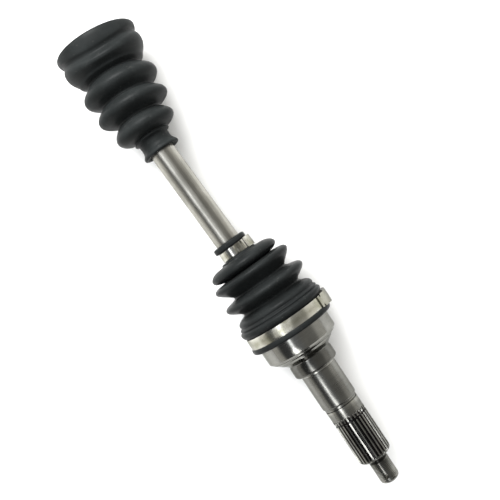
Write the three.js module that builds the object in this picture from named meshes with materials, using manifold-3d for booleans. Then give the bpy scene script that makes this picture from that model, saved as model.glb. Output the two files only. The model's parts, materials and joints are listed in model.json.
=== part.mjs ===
// CV axle half shaft: a ball joint with a splined stub, a bar, and two rubber boots.
// Millimetres, +Z up. X runs along the stub axle, +X towards the wheel. The origin is on the
// stub's axis at the shoulder that seats against the wheel bearing.
import * as THREE from 'three';
import { mergeVertices } from 'three/addons/utils/BufferGeometryUtils.js';
import Module from 'manifold-3d';

const wasm = await Module();
wasm.setup();

// ---------------------------------------------------------------- driving dimensions
const JOINT_BEND_DEG = 2.5; // how far the joint stands bent at rest
const SHOULDER_FROM_JOINT = 30; // joint centre to the bearing shoulder

// outer race and stub axle
const BELL_RADIUS = 30.4;
const BELL_WALL = 3.55; // behind the ball tracks
const BELL_RIM_X = -19; // the open rim, from the joint centre
const BELL_RIM_LAND = 2.8; // wall left at the open rim
const CAVITY_RIM_X = -11; // where the spherical seat ends and the mouth opens out
const END_WALL = 2.15; // between the spherical cavity and the outer cone
const CONE_TILT_DEG = 52.5; // the cone's normal, from the radial direction
const COLLAR_RADIUS = 18.7;
const COLLAR_CORNER = 2.4;
const JOURNAL_RADIUS = 15;
const JOURNAL_LENGTH = 32;
const RELIEF_DEPTH = 0.4;
const RELIEF_WIDTH = 2.4;
const HUB_SPLINE_RADIUS = 14;
const HUB_SPLINE_TEETH = 28;
const HUB_TOOTH_DEPTH = 1.35;
const HUB_LAND_LENGTH = 12; // smooth land between journal and spline
const HUB_RUNOUT = 4;
const HUB_SPLINE_LENGTH = 32.8;
const HUB_SPLINE_NOSE = 4.2; // rounded end of the spline
const RING_GROOVE_WIDTH = 1.4;
const RING_GROOVE_DEPTH = 0.6;
const THREAD_RADIUS = 8;
const THREAD_LENGTH = 17.5;
const TIP_LENGTH = 4.2;
const COTTER_HOLE_RADIUS = 2.1;
const COTTER_HOLE_FROM_TIP = 8.4;
const COTTER_HOLE_TURN_DEG = 17;

// ball set
const BALL_COUNT = 6;
const BALL_RADIUS = 6.35;
const TRACK_GAP = 0.2;
const SPHERE_GAP = 0.3;
const RACE_SPHERE_BELOW_PITCH = 2.7;
const RACE_HALF_WIDTH = 9;
const CAGE_WALL = 5.3;
const CAGE_RAIL = 3.95;
const WINDOW_SIDE_PLAY = 0.75; // the balls wander along their windows as the joint bends
const TRACK_CLOSED_END_DEG = 20.5;
const TRACK_OPEN_END_DEG = -72;

// bar
const BAR_RADIUS = 10.1;
const BAR_NECK_RADIUS = 8.6;
const BAR_NECK_END = 34;
const BAR_TAPER_END = 42;
const BAR_SEAT_DEPTH = 0.8;
const BAR_SPLINE_RADIUS = 9.6;
const BAR_SPLINE_TEETH = 20;
const BAR_TOOTH_DEPTH = 0.9;
const BAR_OUTBOARD_END = 13;
const BAR_LENGTH = 275;
const BAR_INBOARD_SPLINE = 22;
const SPLINE_GAP = 0.25;

// retaining rings
const RING_WIDTH = 1;
const RING_SIDE_GAP = 0.3;
const RING_SEAT_DEPTH = 1.4;
const RING_HEIGHT = 2.1;
const RING_MOUTH_DEG = 50;

// boots and clamps
const PIECE_GAP = 0.3;
const BOOT_WALL = 2.4;
const LARGE_SEAT_WALL = 3;
const LARGE_SEAT_X = -18.2; // inboard edge of the large clamp seat, from the joint centre
const LARGE_SEAT_WIDTH = 9.6;
const LARGE_LIP_WIDTH = 4.6;
const LARGE_LIP_HEIGHT = 2.1;
const SMALL_SEAT_X = -88; // inboard edge of the small clamp seat
const SMALL_SEAT_WIDTH = 9.8;
const SMALL_SEAT_WALL = 1.6;
const SMALL_LIP_WIDTH = 3.4;
const SMALL_LIP_HEIGHT = 2.8;
const LARGE_BAND_WIDTH = 9.4;
const LARGE_BAND_THICKNESS = 0.8;
const SMALL_BAND_WIDTH = 8.8;
const SMALL_BAND_THICKNESS = 0.6;
const LARGE_BUCKLE_HEIGHT = 3.4;
const SMALL_BUCKLE_HEIGHT = 3.6;
const LARGE_BUCKLE_SPAN_DEG = [-26, 31];
const SMALL_BUCKLE_SPAN_DEG = [-52, 36];
const INBOARD_BOOT_X = -177.4; // the loose boot's small end on the bar
const INBOARD_BOOT_LENGTH = 99.6;
const INBOARD_MOUTH_RADIUS = 33.9;
const INBOARD_MOUTH_WALL = 3.2;
const BEAD_WALL = 5;
const BEAD_WIDTH = 6.2;
const INBOARD_SEAT_WALL = 2.8;
const INBOARD_LEAN_DEG = 5.3; // the loose boot leans off the bar's axis
const LEAN_START = 5;
const LEAN_END = 40;

// [share of the way along, share of the way from the small seat's radius to the large seat's]
const OUTBOARD_FOLDS = [
  [0, 1], [0.04, 1.08], [0.078, 1.12], [0.115, 1.08], [0.145, 0.987], [0.2, 1.0], [0.25, 0.9],
  [0.322, 0.65], [0.39, 0.84], [0.464, 1.08], [0.52, 0.84], [0.566, 0.565], [0.64, 0.76],
  [0.735, 1.0], [0.78, 0.8], [0.803, 0.56], [0.835, 0.66], [0.891, 0.778], [0.945, 0.62],
  [0.975, 0.32], [1, 0.13],
];
// [share of the boot's length, share of the mouth's radius]
const INBOARD_FOLDS = [
  [0.142, 0.457], [0.175, 0.53], [0.205, 0.69], [0.234, 0.752], [0.27, 0.69], [0.327, 0.575],
  [0.37, 0.72], [0.415, 0.888], [0.455, 0.8], [0.503, 0.67], [0.55, 0.79], [0.603, 0.932],
  [0.65, 0.83], [0.702, 0.693], [0.749, 0.826], [0.8, 0.95], [0.859, 0.994], [0.93, 0.944],
  [0.965, 0.99], [1, 0.985],
];

const ROUND_STEPS = 28; // facets round a turned piece
const SOFT_STEPS = 16; // facets round a boot
const SOFT_SAMPLES = 21; // outline points along a boot's folds
const SPHERE_STEPS = 8;
const TRACK_SIDES = 8;
const TRACK_STEP_DEG = 12;
const TRACK_END_ROUNDING = 1.07; // keeps the coarse ball-shaped track end outside the true one
const STRAP_STEPS = 28;

// ---------------------------------------------------------------- what fits to what
const RAD = Math.PI / 180;
const bend = JOINT_BEND_DEG * RAD;
const pitchRadius = BELL_RADIUS - BELL_WALL - TRACK_GAP - BALL_RADIUS;
const raceSphere = pitchRadius - RACE_SPHERE_BELOW_PITCH;
const cageInner = raceSphere + SPHERE_GAP;
const cageOuter = cageInner + CAGE_WALL;
const cavityRadius = cageOuter + SPHERE_GAP;
const trackRadius = BALL_RADIUS + TRACK_GAP;
const windowHalf = BALL_RADIUS + TRACK_GAP;
const cageHalfWidth = windowHalf + CAGE_RAIL;
const journalEnd = SHOULDER_FROM_JOINT + JOURNAL_LENGTH;
const hubSplineStart = journalEnd + HUB_LAND_LENGTH;
const hubSplineEnd = hubSplineStart + HUB_RUNOUT + HUB_SPLINE_LENGTH;
const hubNoseEnd = hubSplineEnd + HUB_SPLINE_NOSE;
const threadEnd = hubNoseEnd + THREAD_LENGTH;
const tipEnd = threadEnd + TIP_LENGTH;
const barInboardEnd = BAR_OUTBOARD_END - BAR_LENGTH;
const inboardSplineStart = barInboardEnd + BAR_INBOARD_SPLINE;
const inboardCirclipX = barInboardEnd + 5;
const inboardStopX = inboardSplineStart + RING_SIDE_GAP + RING_WIDTH / 2;
const raceRingX = RACE_HALF_WIDTH + RING_SIDE_GAP + RING_WIDTH / 2;
const ringSeatRadius = BAR_SPLINE_RADIUS - RING_SEAT_DEPTH;
const largeSeatRadius = BELL_RADIUS + PIECE_GAP + LARGE_SEAT_WALL;
const barSeatRadius = BAR_RADIUS - BAR_SEAT_DEPTH;
const smallSeatRadius = barSeatRadius + PIECE_GAP + SMALL_SEAT_WALL;
const smallSeatEnd = SMALL_SEAT_X + SMALL_SEAT_WIDTH;
const inboardBore = BAR_RADIUS + PIECE_GAP; // the loose boot's bore on the bar

// ---------------------------------------------------------------- shapes
const point = (x, r) => new THREE.Vector2(r, x);

// An arc in the profile plane, about (x, r); 0 degrees points along +X and 90 outwards.
function arc(x, r, radius, fromDeg, toDeg, steps) {
  return Array.from({ length: steps + 1 }, (_, i) => {
    const a = (fromDeg + ((toDeg - fromDeg) * i) / steps) * RAD;
    return point(x + radius * Math.cos(a), r + radius * Math.sin(a));
  });
}

// The radius whose inscribed facets, each this many degrees wide, stay outside the true radius.
const round = (radius, facetDeg) => radius / Math.cos((facetDeg / 2) * RAD);
const hollow = (radius, steps = ROUND_STEPS) => round(radius, 360 / steps);

// A closed solid from any closed geometry, facing outwards.
function solid(geometry) {
  const bare = new THREE.BufferGeometry();
  bare.setAttribute('position', geometry.getAttribute('position'));
  if (geometry.index) bare.setIndex(geometry.index);
  const merged = mergeVertices(bare, 1e-4);
  const at = merged.getAttribute('position');
  const corners = merged.index.array;
  const kept = [];
  let volume = 0;
  const [a, b, c] = [new THREE.Vector3(), new THREE.Vector3(), new THREE.Vector3()];
  for (let i = 0; i < corners.length; i += 3) {
    const [p, q, s] = [corners[i], corners[i + 1], corners[i + 2]];
    if (p === q || q === s || s === p) continue;
    kept.push(p, q, s);
    a.fromBufferAttribute(at, p);
    b.fromBufferAttribute(at, q);
    c.fromBufferAttribute(at, s);
    volume += a.dot(b.cross(c));
  }
  if (volume < 0) {
    for (let i = 0; i < kept.length; i += 3) [kept[i], kept[i + 1]] = [kept[i + 1], kept[i]];
  }
  const mesh = new wasm.Mesh({
    numProp: 3,
    vertProperties: new Float32Array(at.array),
    triVerts: new Uint32Array(kept),
  });
  return new wasm.Manifold(mesh);
}

// A solid turned about the X axis from a profile of point(x, r).
function turned(profile, steps = ROUND_STEPS) {
  return solid(new THREE.LatheGeometry(profile, steps).rotateZ(-Math.PI / 2));
}

// A prism along X, of a shape drawn in Y and Z, from x0 to x1.
function prism(shape, x0, x1, curveSegments = 12) {
  const options = { depth: x1 - x0, bevelEnabled: false, curveSegments };
  const geometry = new THREE.ExtrudeGeometry(shape, options);
  geometry.applyMatrix4(new THREE.Matrix4().makeBasis(
    new THREE.Vector3(0, 1, 0), new THREE.Vector3(0, 0, 1), new THREE.Vector3(1, 0, 0)));
  return solid(geometry.translate(x0, 0, 0));
}

// A toothed prism: flat crests and roots with straight flanks.
function toothed(teeth, outer, depth, x0, x1, grow = 0) {
  const shape = new THREE.Shape();
  const pitch = (2 * Math.PI) / teeth;
  for (let i = 0; i < teeth; i += 1) {
    for (const [turn, cut] of [[-0.42, depth], [-0.17, 0], [0.17, 0], [0.42, depth]]) {
      const a = (i + turn) * pitch;
      const r = outer - cut + grow;
      if (i + turn === -0.42) shape.moveTo(r * Math.cos(a), r * Math.sin(a));
      else shape.lineTo(r * Math.cos(a), r * Math.sin(a));
    }
  }
  shape.closePath();
  return prism(shape, x0, x1);
}

function ring(x0, x1, inner, outer, steps = ROUND_STEPS) {
  const corners = [[x0, inner], [x0, outer], [x1, outer], [x1, inner], [x0, inner]];
  return turned(corners.map(([x, r]) => point(x, r)), steps);
}

// The meridian direction of ball i, and the swing that keeps it on the joint's bisecting plane.
const ballTurn = (i) => (i * 2 * Math.PI) / BALL_COUNT;
const ballSwing = (turn, angle) => Math.atan(Math.cos(turn) * Math.tan(angle / 2));

// The channel a ball sweeps along one meridian, open at the rim and round at the closed end.
function ballTrack(turn, fromDeg, toDeg) {
  const steps = Math.round(Math.abs(toDeg - fromDeg) / TRACK_STEP_DEG);
  const circumscribed = trackRadius / Math.cos(Math.PI / TRACK_SIDES);
  const section = new THREE.Shape();
  for (let i = 0; i < TRACK_SIDES; i += 1) {
    const a = ((i + 0.5) * 2 * Math.PI) / TRACK_SIDES;
    const corner = [circumscribed * Math.cos(a), circumscribed * Math.sin(a)];
    if (i === 0) section.moveTo(...corner);
    else section.lineTo(...corner);
  }
  section.closePath();
  const path = new THREE.EllipseCurve(
    0, 0, pitchRadius, pitchRadius, (90 - fromDeg) * RAD, (90 - toDeg) * RAD, toDeg > fromDeg);
  const route = new THREE.CatmullRomCurve3(
    path.getPoints(steps).map((p) => new THREE.Vector3(p.x, p.y, 0)), false, 'centripetal');
  const channel = new THREE.ExtrudeGeometry(section, { steps, extrudePath: route, bevelEnabled: false });
  return solid(channel.rotateX(turn));
}

function ballAt(turn, swingDeg) {
  const ball = new THREE.IcosahedronGeometry(trackRadius * TRACK_END_ROUNDING, 1);
  const a = swingDeg * RAD;
  ball.translate(pitchRadius * Math.sin(a), pitchRadius * Math.cos(a), 0);
  return solid(ball.rotateX(turn));
}

// ---------------------------------------------------------------- the pieces
function outerRaceStub() {
  const tilt = CONE_TILT_DEG * RAD;
  const coneAt = (r) => (cavityRadius + END_WALL - r * Math.cos(tilt)) / Math.sin(tilt);
  const seatRim = Math.sqrt(cavityRadius ** 2 - CAVITY_RIM_X ** 2);
  const seatRimDeg = Math.atan2(seatRim, CAVITY_RIM_X) / RAD;
  const cornerX = SHOULDER_FROM_JOINT - COLLAR_CORNER;
  const relief = JOURNAL_RADIUS - RELIEF_DEPTH;
  const reliefEnd = SHOULDER_FROM_JOINT + RELIEF_WIDTH;
  const root = HUB_SPLINE_RADIUS - HUB_TOOTH_DEPTH;
  const nose = [
    point(hubSplineEnd, HUB_SPLINE_RADIUS),
    point(hubSplineEnd + HUB_SPLINE_NOSE * 0.55, (HUB_SPLINE_RADIUS + THREAD_RADIUS) / 2 + 1.2),
    point(hubNoseEnd, THREAD_RADIUS),
  ];
  const profile = [
    ...arc(0, 0, round(hollow(cavityRadius), seatRimDeg / SPHERE_STEPS), 0, seatRimDeg, SPHERE_STEPS),
    point(BELL_RIM_X, BELL_RADIUS - BELL_RIM_LAND),
    point(BELL_RIM_X, BELL_RADIUS - 0.8),
    point(BELL_RIM_X + 0.8, BELL_RADIUS),
    point(coneAt(BELL_RADIUS), BELL_RADIUS),
    point(coneAt(COLLAR_RADIUS), COLLAR_RADIUS),
    ...arc(cornerX, COLLAR_RADIUS - COLLAR_CORNER, COLLAR_CORNER, 90, 0, 3),
    point(SHOULDER_FROM_JOINT, relief),
    point(reliefEnd, relief),
    point(reliefEnd + RELIEF_DEPTH, JOURNAL_RADIUS),
    point(journalEnd - 1, JOURNAL_RADIUS),
    point(journalEnd, HUB_SPLINE_RADIUS),
    point(journalEnd + 1.6, HUB_SPLINE_RADIUS),
    point(journalEnd + 1.6, HUB_SPLINE_RADIUS - 0.5),
    point(journalEnd + 2.4, HUB_SPLINE_RADIUS - 0.5),
    point(journalEnd + 2.4, HUB_SPLINE_RADIUS),
    point(hubSplineStart, HUB_SPLINE_RADIUS),
    point(hubSplineStart + HUB_RUNOUT, root),
    point(hubSplineEnd + HUB_SPLINE_NOSE * 0.5, root),
    point(hubNoseEnd, THREAD_RADIUS),
    point(threadEnd, THREAD_RADIUS),
  ];
  for (let i = 1; i <= 4; i += 1) {
    const a = (i * Math.PI) / 8;
    const r = i < 4 ? THREAD_RADIUS * Math.cos(a) : 0;
    profile.push(point(threadEnd + TIP_LENGTH * Math.sin(a), r));
  }
  const envelope = turned([
    point(hubSplineStart - 1, 0), point(hubSplineStart - 1, HUB_SPLINE_RADIUS), ...nose, point(hubNoseEnd, 0),
  ]);
  const teethStart = hubSplineStart - 0.5;
  const teeth = toothed(HUB_SPLINE_TEETH, HUB_SPLINE_RADIUS, HUB_TOOTH_DEPTH, teethStart, hubNoseEnd - 0.1)
    .intersect(envelope);
  const grooveEnd = hubSplineStart + HUB_RUNOUT;
  const grooveFloor = HUB_SPLINE_RADIUS - RING_GROOVE_DEPTH;
  const groove = ring(grooveEnd - RING_GROOVE_WIDTH, grooveEnd, grooveFloor, HUB_SPLINE_RADIUS + 2);
  const pinHole = new THREE.CylinderGeometry(COTTER_HOLE_RADIUS, COTTER_HOLE_RADIUS, THREAD_RADIUS * 3, 12)
    .rotateX(Math.PI / 2 + COTTER_HOLE_TURN_DEG * RAD)
    .translate(tipEnd - COTTER_HOLE_FROM_TIP, 0, 0);
  let body = turned(profile).add(teeth).subtract(groove).subtract(solid(pinHole));
  for (let i = 0; i < BALL_COUNT; i += 1) {
    body = body.subtract(ballTrack(ballTurn(i), TRACK_CLOSED_END_DEG, TRACK_OPEN_END_DEG));
    body = body.subtract(ballAt(ballTurn(i), TRACK_CLOSED_END_DEG));
  }
  return body;
}

function innerRace() {
  const faceRadius = Math.sqrt(raceSphere ** 2 - RACE_HALF_WIDTH ** 2);
  const edgeDeg = Math.atan2(faceRadius, RACE_HALF_WIDTH) / RAD;
  const profile = [
    point(RACE_HALF_WIDTH, 0),
    ...arc(0, 0, raceSphere, edgeDeg, 180 - edgeDeg, SPHERE_STEPS),
    point(-RACE_HALF_WIDTH, 0),
  ];
  const through = RACE_HALF_WIDTH + 1;
  let body = turned(profile)
    .subtract(toothed(BAR_SPLINE_TEETH, BAR_SPLINE_RADIUS, BAR_TOOTH_DEPTH, -through, through, SPLINE_GAP));
  for (let i = 0; i < BALL_COUNT; i += 1) body = body.subtract(ballTrack(ballTurn(i), 63, -63));
  return body;
}

function ballCage() {
  const outerEdge = Math.sqrt(cageOuter ** 2 - cageHalfWidth ** 2);
  const innerEdge = Math.sqrt(cageInner ** 2 - cageHalfWidth ** 2);
  const outerDeg = Math.atan2(outerEdge, cageHalfWidth) / RAD;
  const innerDeg = Math.atan2(innerEdge, cageHalfWidth) / RAD;
  const facet = (180 - 2 * innerDeg) / SPHERE_STEPS;
  const outline = [
    ...arc(0, 0, cageOuter, outerDeg, 180 - outerDeg, SPHERE_STEPS),
    ...arc(0, 0, round(hollow(cageInner), facet), 180 - innerDeg, innerDeg, SPHERE_STEPS),
  ];
  let body = turned([...outline, outline[0].clone()]);
  const halfLength = BALL_RADIUS + WINDOW_SIDE_PLAY + TRACK_GAP;
  for (let i = 0; i < BALL_COUNT; i += 1) {
    const window = new THREE.BoxGeometry(2 * windowHalf, cageOuter, 2 * halfLength)
      .translate(0, cageOuter * 0.75, 0)
      .rotateX(ballTurn(i));
    body = body.subtract(solid(window));
  }
  return body;
}

// A groove of the bar that one retaining ring sits in.
function ringSeat(x) {
  const half = RING_WIDTH / 2 + RING_SIDE_GAP;
  return ring(x - half, x + half, ringSeatRadius, BAR_RADIUS + 2, BAR_SPLINE_TEETH);
}

function axleBar() {
  const rootRadius = BAR_SPLINE_RADIUS - BAR_TOOTH_DEPTH;
  const seatEnd = smallSeatEnd + PIECE_GAP + 1;
  const seatStart = SMALL_SEAT_X - PIECE_GAP;
  const stopShoulder = inboardStopX + RING_WIDTH / 2 + RING_SIDE_GAP;
  const profile = [
    point(BAR_OUTBOARD_END, 0),
    point(BAR_OUTBOARD_END, rootRadius - 1),
    point(BAR_OUTBOARD_END - 1, rootRadius),
    point(-raceRingX, rootRadius),
    point(-raceRingX - 1, BAR_NECK_RADIUS),
    point(-BAR_NECK_END, BAR_NECK_RADIUS),
    point(-BAR_TAPER_END, BAR_RADIUS),
    point(seatEnd, BAR_RADIUS),
    point(seatEnd - BAR_SEAT_DEPTH, barSeatRadius),
    point(seatStart + BAR_SEAT_DEPTH, barSeatRadius),
    point(seatStart, BAR_RADIUS),
    point(stopShoulder + 0.5, BAR_RADIUS),
    point(stopShoulder, rootRadius),
    point(barInboardEnd + 1, rootRadius),
    point(barInboardEnd, rootRadius - 1),
    point(barInboardEnd, 0),
  ];
  const spline = (x0, x1) => toothed(BAR_SPLINE_TEETH, BAR_SPLINE_RADIUS, BAR_TOOTH_DEPTH, x0, x1);
  return turned(profile, BAR_SPLINE_TEETH)
    .add(spline(-raceRingX, BAR_OUTBOARD_END - 1))
    .add(spline(barInboardEnd + 1, stopShoulder))
    .subtract(ringSeat(raceRingX))
    .subtract(ringSeat(-raceRingX))
    .subtract(ringSeat(inboardStopX))
    .subtract(ringSeat(inboardCirclipX));
}

// A sector of a ring in Y and Z, drawn by angle from +Y towards +Z.
function sector(inner, outer, fromDeg, toDeg) {
  const shape = new THREE.Shape();
  shape.absarc(0, 0, outer, fromDeg * RAD, toDeg * RAD, false);
  shape.absarc(0, 0, inner, toDeg * RAD, fromDeg * RAD, true);
  shape.closePath();
  return shape;
}

function retainingRing(x) {
  const inner = ringSeatRadius + PIECE_GAP;
  const shape = sector(inner, inner + RING_HEIGHT, RING_MOUTH_DEG, 360 - RING_MOUTH_DEG / 5);
  return prism(shape, x - RING_WIDTH / 2, x + RING_WIDTH / 2, 10);
}

// Points of a smooth curve through [x, r] pairs.
function smooth(pairs, count) {
  const through = pairs.map(([x, r]) => new THREE.Vector3(x, r, 0));
  const curve = new THREE.CatmullRomCurve3(through, false, 'centripetal');
  return curve.getPoints(count).map((p) => [p.x, p.y]);
}

// A bellows from its outer outline of [x, r] pairs and the radius inside at each x.
function bellows(outline, inside) {
  const inner = outline.map(([x]) => [x, inside(x)]).reverse();
  const loop = [...outline, ...inner, outline[0]].map(([x, r]) => point(x, r));
  return new THREE.LatheGeometry(loop, SOFT_STEPS).rotateZ(-Math.PI / 2);
}

// The radius of an outline at x, between its nearest two pairs.
function radiusAt(outline, x) {
  const ahead = outline.findIndex((pair, i) => i > 0 && pair[0] <= x);
  const [x0, r0] = outline[Math.max(ahead, 1) - 1];
  const [x1, r1] = outline[Math.max(ahead, 1)];
  return r0 + ((r1 - r0) * (x0 - x)) / Math.max(x0 - x1, 1e-6);
}

function outboardBoot() {
  const lipStart = LARGE_SEAT_X + LARGE_SEAT_WIDTH + LARGE_LIP_WIDTH;
  const lip = largeSeatRadius + LARGE_LIP_HEIGHT;
  const bore = hollow(BELL_RADIUS + PIECE_GAP, SOFT_STEPS);
  const smallBore = hollow(barSeatRadius + PIECE_GAP, SOFT_STEPS);
  const lipBore = hollow(BAR_RADIUS + PIECE_GAP, SOFT_STEPS);
  const along = (t) => LARGE_SEAT_X + t * (smallSeatEnd - LARGE_SEAT_X);
  const height = (t) => smallSeatRadius + t * (largeSeatRadius - smallSeatRadius);
  const folds = smooth(OUTBOARD_FOLDS.map(([t, h]) => [along(t), height(h)]), SOFT_SAMPLES);
  const smallLip = smallSeatRadius + SMALL_LIP_HEIGHT;
  const outline = [
    [lipStart, bore + 0.5],
    [lipStart - 1.3, lip - 1],
    [lipStart - 3, lip],
    [lipStart - LARGE_LIP_WIDTH + 0.4, lip - 0.2],
    [lipStart - LARGE_LIP_WIDTH, largeSeatRadius],
    ...folds,
    [smallSeatEnd - 0.4, smallSeatRadius],
    [SMALL_SEAT_X + 0.4, smallSeatRadius],
    [SMALL_SEAT_X, smallLip],
    [SMALL_SEAT_X - SMALL_LIP_WIDTH, smallLip - 0.3],
  ];
  const inside = (x) => {
    if (x > LARGE_SEAT_X - 0.5) return bore;
    if (x > smallSeatEnd + 0.5) return Math.max(radiusAt(folds, x) - BOOT_WALL, smallBore);
    return x > SMALL_SEAT_X + 0.1 ? smallBore : lipBore;
  };
  return solid(flexed(bellows(outline, inside), LARGE_SEAT_X - 2, smallSeatEnd));
}

// Turns each point about the joint centre, by none of the joint's bend at x0 up to all of it at x1.
function flexed(geometry, x0, x1) {
  const at = geometry.getAttribute('position');
  for (let i = 0; i < at.count; i += 1) {
    const share = THREE.MathUtils.smoothstep(x0 - at.getX(i), 0, x0 - x1);
    const turnedPoint = new THREE.Vector3().fromBufferAttribute(at, i);
    turnedPoint.applyAxisAngle(new THREE.Vector3(0, 0, 1), bend * share);
    at.setXYZ(i, turnedPoint.x, turnedPoint.y, turnedPoint.z);
  }
  return geometry;
}

// The loose boot's centre line: straight on the bar, then leaning over towards +Y.
function leanAt(along) {
  return INBOARD_LEAN_DEG * RAD * THREE.MathUtils.clamp((along - LEAN_START) / (LEAN_END - LEAN_START), 0, 1);
}

function leaned(geometry) {
  const at = geometry.getAttribute('position');
  for (let i = 0; i < at.count; i += 1) {
    const along = INBOARD_BOOT_X - at.getX(i);
    let [cx, cy] = [INBOARD_BOOT_X, 0];
    const steps = 40;
    for (let k = 0; k < steps; k += 1) {
      const lean = leanAt(((k + 0.5) * along) / steps);
      cx -= (Math.cos(lean) * along) / steps;
      cy += (Math.sin(lean) * along) / steps;
    }
    const y = at.getY(i);
    at.setXYZ(i, cx + y * Math.sin(leanAt(along)), cy + y * Math.cos(leanAt(along)), at.getZ(i));
  }
  return geometry;
}

function inboardBoot() {
  const along = (t) => INBOARD_BOOT_X - t * INBOARD_BOOT_LENGTH;
  const folds = smooth(INBOARD_FOLDS.map(([t, h]) => [along(t), h * INBOARD_MOUTH_RADIUS]), SOFT_SAMPLES);
  const bead = inboardBore + BEAD_WALL;
  const seat = inboardBore + INBOARD_SEAT_WALL;
  const beadEnd = INBOARD_BOOT_X - BEAD_WIDTH;
  const foldsStart = folds[0][0];
  const outline = [
    [INBOARD_BOOT_X, bead - 1.5],
    [INBOARD_BOOT_X - 1.5, bead],
    [beadEnd + 1.2, bead],
    [beadEnd, seat],
    [foldsStart + 1.8, seat],
    ...folds,
  ];
  const mouthBore = folds[folds.length - 1][1] - INBOARD_MOUTH_WALL;
  const inside = (x) => {
    const bore = hollow(inboardBore, SOFT_STEPS);
    if (x > foldsStart + 0.1) return bore;
    return Math.min(Math.max(radiusAt(folds, x) - BOOT_WALL, bore), mouthBore);
  };
  return solid(leaned(bellows(outline, inside)));
}

function band(centre, inner, thickness, width) {
  const half = width / 2;
  const edge = thickness / 2;
  const profile = [
    point(centre - half, inner),
    point(centre - half, inner + edge),
    point(centre - half + edge, inner + thickness),
    point(centre + half - edge, inner + thickness),
    point(centre + half, inner + edge),
    point(centre + half, inner),
    point(centre - half, inner),
  ];
  return turned(profile, STRAP_STEPS);
}

function buckle(centre, inner, height, width, spanDeg) {
  const block = prism(sector(inner, inner + height, ...spanDeg), centre - width / 2, centre + width / 2, 8);
  const fold = sector(inner + height * 0.45, inner + height + 1, spanDeg[1] - 14, spanDeg[1] + 6);
  return block.subtract(prism(fold, centre - width, centre + width, 6));
}

// ---------------------------------------------------------------- assembly
const FINISHES = {
  forging: { color: 0x6e6c62, roughness: 0.38, metalness: 1 },
  bar: { color: 0xc8c3b9, roughness: 0.22, metalness: 1 },
  race: { color: 0x8d8f92, roughness: 0.3, metalness: 1 },
  ball: { color: 0xd8dade, roughness: 0.08, metalness: 1 },
  spring: { color: 0x3a3a3c, roughness: 0.45, metalness: 1 },
  rubber: { color: 0x2d3234, roughness: 0.55, metalness: 0 },
  strap: { color: 0xbeb9a5, roughness: 0.3, metalness: 1 },
};

function piece(group, name, made, finish) {
  const { vertProperties, triVerts } = made.getMesh();
  const geometry = new THREE.BufferGeometry();
  geometry.setAttribute('position', new THREE.BufferAttribute(new Float32Array(vertProperties), 3));
  geometry.setIndex(new THREE.BufferAttribute(new Uint32Array(triVerts), 1));
  geometry.computeVertexNormals();
  const mesh = new THREE.Mesh(geometry, new THREE.MeshStandardMaterial(FINISHES[finish]));
  mesh.name = name;
  group.add(mesh);
  return mesh;
}

const axle = new THREE.Group();
const joint = new THREE.Group();
joint.position.x = -SHOULDER_FROM_JOINT;
axle.add(joint);

const cageSide = new THREE.Group();
cageSide.rotation.z = bend / 2;
const barSide = new THREE.Group();
barSide.rotation.z = bend;
joint.add(cageSide, barSide);

piece(joint, 'outer_race_stub', outerRaceStub(), 'forging');
piece(joint, 'outboard_boot', outboardBoot(), 'rubber');

const largeCentre = LARGE_SEAT_X + LARGE_SEAT_WIDTH / 2;
const largeBandInner = largeSeatRadius + PIECE_GAP;
const largeBuckleInner = largeBandInner + LARGE_BAND_THICKNESS + PIECE_GAP;
const largeBand = band(largeCentre, largeBandInner, LARGE_BAND_THICKNESS, LARGE_BAND_WIDTH);
piece(joint, 'large_clamp_band', largeBand, 'strap');
const largeBuckle = buckle(
  largeCentre, largeBuckleInner, LARGE_BUCKLE_HEIGHT, LARGE_BAND_WIDTH, LARGE_BUCKLE_SPAN_DEG);
piece(joint, 'large_clamp_buckle', largeBuckle, 'strap');

piece(cageSide, 'ball_cage', ballCage(), 'race');
for (let i = 0; i < BALL_COUNT; i += 1) {
  const turn = ballTurn(i);
  const swing = ballSwing(turn, bend);
  const ball = piece(joint, `ball_${i + 1}`, solid(new THREE.IcosahedronGeometry(BALL_RADIUS, 2)), 'ball');
  const out = pitchRadius * Math.cos(swing);
  ball.position.set(-pitchRadius * Math.sin(swing), out * Math.cos(turn), out * Math.sin(turn));
}

piece(barSide, 'inner_race', innerRace(), 'race');
piece(barSide, 'axle_bar', axleBar(), 'bar');
piece(barSide, 'inner_race_circlip', retainingRing(raceRingX), 'spring');
piece(barSide, 'inner_race_stop_ring', retainingRing(-raceRingX), 'spring');
piece(barSide, 'inboard_stop_ring', retainingRing(inboardStopX), 'spring');
piece(barSide, 'inboard_circlip', retainingRing(inboardCirclipX), 'spring');

const smallCentre = SMALL_SEAT_X + SMALL_SEAT_WIDTH / 2;
const smallBandInner = smallSeatRadius + PIECE_GAP;
const smallBuckleInner = smallBandInner + SMALL_BAND_THICKNESS + PIECE_GAP;
const smallBand = band(smallCentre, smallBandInner, SMALL_BAND_THICKNESS, SMALL_BAND_WIDTH);
piece(barSide, 'small_clamp_band', smallBand, 'strap');
const smallBuckle = buckle(
  smallCentre, smallBuckleInner, SMALL_BUCKLE_HEIGHT, SMALL_BAND_WIDTH, SMALL_BUCKLE_SPAN_DEG);
piece(barSide, 'small_clamp_buckle', smallBuckle, 'strap');

piece(barSide, 'inboard_boot', inboardBoot(), 'rubber');

export default axle;
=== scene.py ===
"""A CV axle half shaft: machined stub and bell, two rubber boots, strap clamps and a polished bar."""

import json
import math

import bmesh
import bpy
from mathutils import Matrix, Vector, noise


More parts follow.
